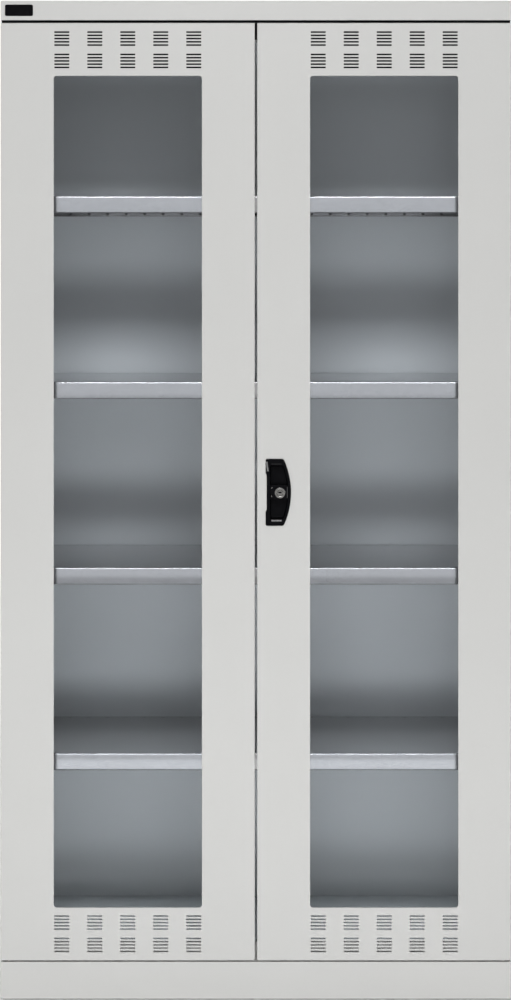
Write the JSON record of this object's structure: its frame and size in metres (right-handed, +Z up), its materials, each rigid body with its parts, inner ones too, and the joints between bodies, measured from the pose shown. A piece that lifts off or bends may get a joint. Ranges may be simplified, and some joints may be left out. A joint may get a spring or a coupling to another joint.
{
  "type": "polycarbonate door cabinet",
  "caption": "Tall two-door sheet-metal storage cabinet with clear polycarbonate door panes, vented doors, perforated adjustable shelves and a lock with rods.",
  "frame": {"origin": "on the floor, under the middle of the cabinet's overall box", "axes": "+X to the right seen from the front, the doors face -Y, +Z up"},
  "size_m": [1.023, 0.558, 2],
  "materials": {
    "light_grey_powder_coat": "satin",
    "galvanised_steel": "satin",
    "zinc_plated_steel": "satin",
    "clear_polycarbonate": "gloss",
    "black_nylon": "gloss",
    "black_bush_plastic": "matte",
    "nickel_plate": "gloss"
  },
  "bodies": {
    "carcass": {"top_cap": "light_grey_powder_coat", "plinth": "light_grey_powder_coat", "left_side_panel": "light_grey_powder_coat", "right_side_panel": "light_grey_powder_coat", "back_panel": "light_grey_powder_coat", "header_rail": "light_grey_powder_coat", "sill_rail": "light_grey_powder_coat", "floor_pan": "light_grey_powder_coat", "left_front_upright": "galvanised_steel", "right_front_upright": "galvanised_steel", "left_rear_upright": "galvanised_steel", "right_rear_upright": "galvanised_steel", "shelf_1": "galvanised_steel", "shelf_2": "galvanised_steel", "shelf_3": "galvanised_steel", "shelf_4": "galvanised_steel", "shelf_1_left_front_clip": "zinc_plated_steel", "shelf_1_right_front_clip": "zinc_plated_steel", "shelf_1_left_rear_clip": "zinc_plated_steel", "shelf_1_right_rear_clip": "zinc_plated_steel", "shelf_2_left_front_clip": "zinc_plated_steel", "shelf_2_right_front_clip": "zinc_plated_steel", "shelf_2_left_rear_clip": "zinc_plated_steel", "shelf_2_right_rear_clip": "zinc_plated_steel", "shelf_3_left_front_clip": "zinc_plated_steel", "shelf_3_right_front_clip": "zinc_plated_steel", "shelf_3_left_rear_clip": "zinc_plated_steel", "shelf_3_right_rear_clip": "zinc_plated_steel", "shelf_4_left_front_clip": "zinc_plated_steel", "shelf_4_right_front_clip": "zinc_plated_steel", "shelf_4_left_rear_clip": "zinc_plated_steel", "shelf_4_right_rear_clip": "zinc_plated_steel", "left_door_upper_pin": "zinc_plated_steel", "left_door_lower_pin": "zinc_plated_steel", "right_door_upper_pin": "zinc_plated_steel", "right_door_lower_pin": "zinc_plated_steel"},
    "left_door": {"left_door_skin": "light_grey_powder_coat", "left_door_pane": "clear_polycarbonate", "left_door_pane_frame": "light_grey_powder_coat", "left_door_upper_bush": "black_bush_plastic", "left_door_lower_bush": "black_bush_plastic", "left_door_keeper": "zinc_plated_steel"},
    "right_door": {"right_door_skin": "light_grey_powder_coat", "right_door_pane": "clear_polycarbonate", "right_door_pane_frame": "light_grey_powder_coat", "right_door_upper_bush": "black_bush_plastic", "right_door_lower_bush": "black_bush_plastic", "handle_shell": "black_nylon", "lock_housing": "black_nylon", "lock_cylinder": "nickel_plate", "lock_nut": "zinc_plated_steel", "lock_stiffener": "light_grey_powder_coat", "upper_rod_guide": "black_bush_plastic", "lower_rod_guide": "black_bush_plastic"},
    "lock_barrel": {"lock_plug": "nickel_plate", "lock_cam": "zinc_plated_steel"},
    "upper_rod": {"upper_rod": "zinc_plated_steel"},
    "lower_rod": {"lower_rod": "zinc_plated_steel"}
  },
  "joints": [
    {"name": "left_door_hinge", "type": "hinge", "parent": "carcass", "child": "left_door", "pos_m": [-0.5032, -0.266, 1.01665], "axis": [0, 0, -1], "range_deg": [0, 180]},
    {"name": "right_door_hinge", "type": "hinge", "parent": "carcass", "child": "right_door", "pos_m": [0.5032, -0.266, 1.01665], "axis": [0, 0, 1], "range_deg": [0, 180]},
    {"name": "lock_turn", "type": "hinge", "parent": "right_door", "child": "lock_barrel", "pos_m": [0.0481, -0.276, 1.0143], "axis": [0, -1, 0], "range_deg": [0, 90]},
    {"name": "upper_rod_slide", "type": "slide", "parent": "right_door", "child": "upper_rod", "axis": [0, 0, 1], "range_m": [0, 0.01414]},
    {"name": "lower_rod_slide", "type": "slide", "parent": "right_door", "child": "lower_rod", "axis": [0, 0, -1], "range_m": [0, 0.01415]}
  ],
  "couplings": [
    {"joint": "lock_turn", "follows": "upper_rod_slide", "rad_per_m": 111.07},
    {"joint": "lower_rod_slide", "follows": "upper_rod_slide", "ratio": 1}
  ]
}
